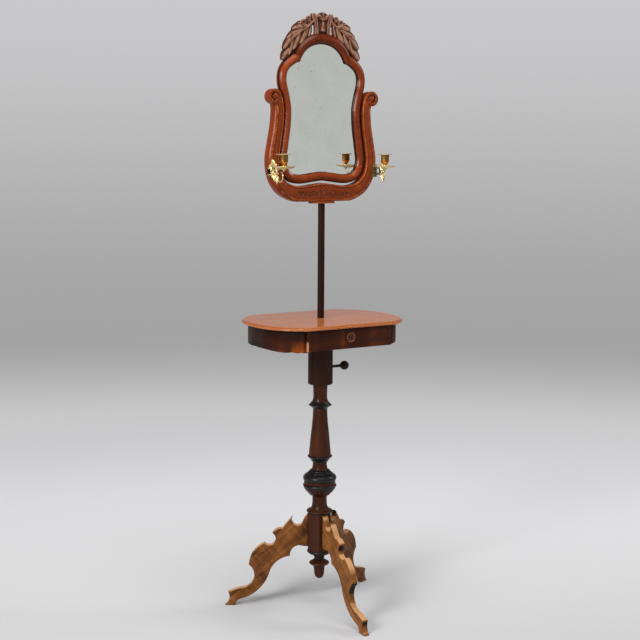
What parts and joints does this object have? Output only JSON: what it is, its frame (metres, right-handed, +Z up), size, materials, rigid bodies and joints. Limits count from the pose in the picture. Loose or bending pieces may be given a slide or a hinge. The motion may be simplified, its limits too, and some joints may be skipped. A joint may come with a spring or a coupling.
{
  "type": "shaving mirror stand",
  "caption": "Tripod stand with a turned pillar, a small table with a drawer, and a tilting carved mirror with two swinging candle arms on a sliding rod.",
  "frame": {"origin": "on the floor, on the pillar's axis", "axes": "+Z up, -Y to the front of the table, +X to the right as seen from the front"},
  "size_m": [0.4967, 0.4441, 1.749],
  "materials": {
    "figured_birch": "satin varnish, figured grain with dark streaks and pale worn edges",
    "dark_mahogany": "satin french polish, dark red-brown",
    "ebonised_wood": "blackened, satin",
    "stained_wood": "very dark brown stain, satin",
    "polished_mahogany": "glossy polish, salmon-orange",
    "flame_veneer": "glossy flame veneer",
    "glossy_mahogany": "glossy polish, orange-red brown",
    "carved_walnut": "matt, greyish brown",
    "pine": "bare",
    "polished_brass": "polished",
    "dull_brass": "dull, tarnished",
    "steel": "plain",
    "mirror_glass": "old silvered glass with faint specks"
  },
  "bodies": {
    "stand": {"leg_front": "figured_birch", "leg_left": "figured_birch", "leg_right": "figured_birch", "hex_block": "dark_mahogany", "block_ring": "dark_mahogany", "base_ring": "ebonised_wood", "drop_finial": "dark_mahogany", "baluster": "dark_mahogany", "bulb_lower_ring": "ebonised_wood", "bulb_band": "dark_mahogany", "bulb_upper_ring": "ebonised_wood", "neck_collar": "dark_mahogany", "shaft_lower_ring": "ebonised_wood", "column_shaft": "dark_mahogany", "shaft_upper_ring": "ebonised_wood", "top_neck": "dark_mahogany", "sleeve": "stained_wood", "table_top": "polished_mahogany", "apron_left": "flame_veneer", "apron_right": "flame_veneer", "apron_back": "flame_veneer", "case_floor": "pine", "drawer_guides": "pine", "top_bearer": "pine"},
    "drawer": {"drawer_front": "flame_veneer", "drawer_side_left": "pine", "drawer_side_right": "pine", "drawer_back": "pine", "drawer_bottom": "pine", "escutcheon": "stained_wood", "lock_case": "dull_brass"},
    "lock_bolt": {"lock_bolt": "dull_brass"},
    "clamp_shoe": {"clamp_shoe": "stained_wood"},
    "thumb_screw": {"thumb_screw": "stained_wood"},
    "rod": {"mirror_rod": "stained_wood", "yoke_plate": "dark_mahogany", "yoke_rail": "glossy_mahogany", "yoke_arm_left": "glossy_mahogany", "yoke_arm_right": "glossy_mahogany", "pivot_pins": "steel", "wall_plate_left": "dull_brass", "wall_plate_right": "dull_brass", "plate_screws": "dull_brass", "hinge_pins": "dull_brass"},
    "mirror": {"frame_arch": "glossy_mahogany", "frame_left": "glossy_mahogany", "frame_right": "glossy_mahogany", "frame_base": "glossy_mahogany", "mirror_glass": "mirror_glass", "back_board": "pine", "back_clips": "dull_brass", "crest": "carved_walnut"},
    "left_candle_arm": {"candle_arm_left": "polished_brass", "drip_pan_left": "polished_brass", "candle_cup_left": "polished_brass"},
    "right_candle_arm": {"candle_arm_right": "polished_brass", "drip_pan_right": "polished_brass", "candle_cup_right": "polished_brass"}
  },
  "joints": [
    {"name": "rod_slide", "type": "slide", "parent": "stand", "child": "rod", "axis": [0, 0, 1], "range_m": [-0.11, 0.12]},
    {"name": "drawer_slide", "type": "slide", "parent": "stand", "child": "drawer", "axis": [0, -1, 0], "range_m": [0, 0.075]},
    {"name": "lock_bolt_slide", "type": "slide", "parent": "drawer", "child": "lock_bolt", "axis": [0, 0, 1], "range_m": [0, 0.006]},
    {"name": "clamp_travel", "type": "slide", "parent": "stand", "child": "clamp_shoe", "axis": [1, 0, 0], "range_m": [0, 0.006]},
    {"name": "screw_turn", "type": "hinge", "parent": "clamp_shoe", "child": "thumb_screw", "pos_m": [0.05, 0, 0.727], "axis": [-1, 0, 0], "range_deg": [-15, 560]},
    {"name": "mirror_tilt", "type": "hinge", "parent": "rod", "child": "mirror", "pos_m": [0, 0, 1.467], "axis": [1, 0, 0], "range_deg": [-15, 25]},
    {"name": "left_arm_swing", "type": "hinge", "parent": "rod", "child": "left_candle_arm", "pos_m": [-0.189, -0.0242, 1.302], "axis": [0, 0, 1], "range_deg": [-75, 60]},
    {"name": "right_arm_swing", "type": "hinge", "parent": "rod", "child": "right_candle_arm", "pos_m": [0.189, -0.0242, 1.302], "axis": [0, 0, -1], "range_deg": [-100, 35]}
  ],
  "couplings": [
    {"joint": "screw_turn", "follows": "clamp_travel", "rad_per_m": 1570.8}
  ]
}
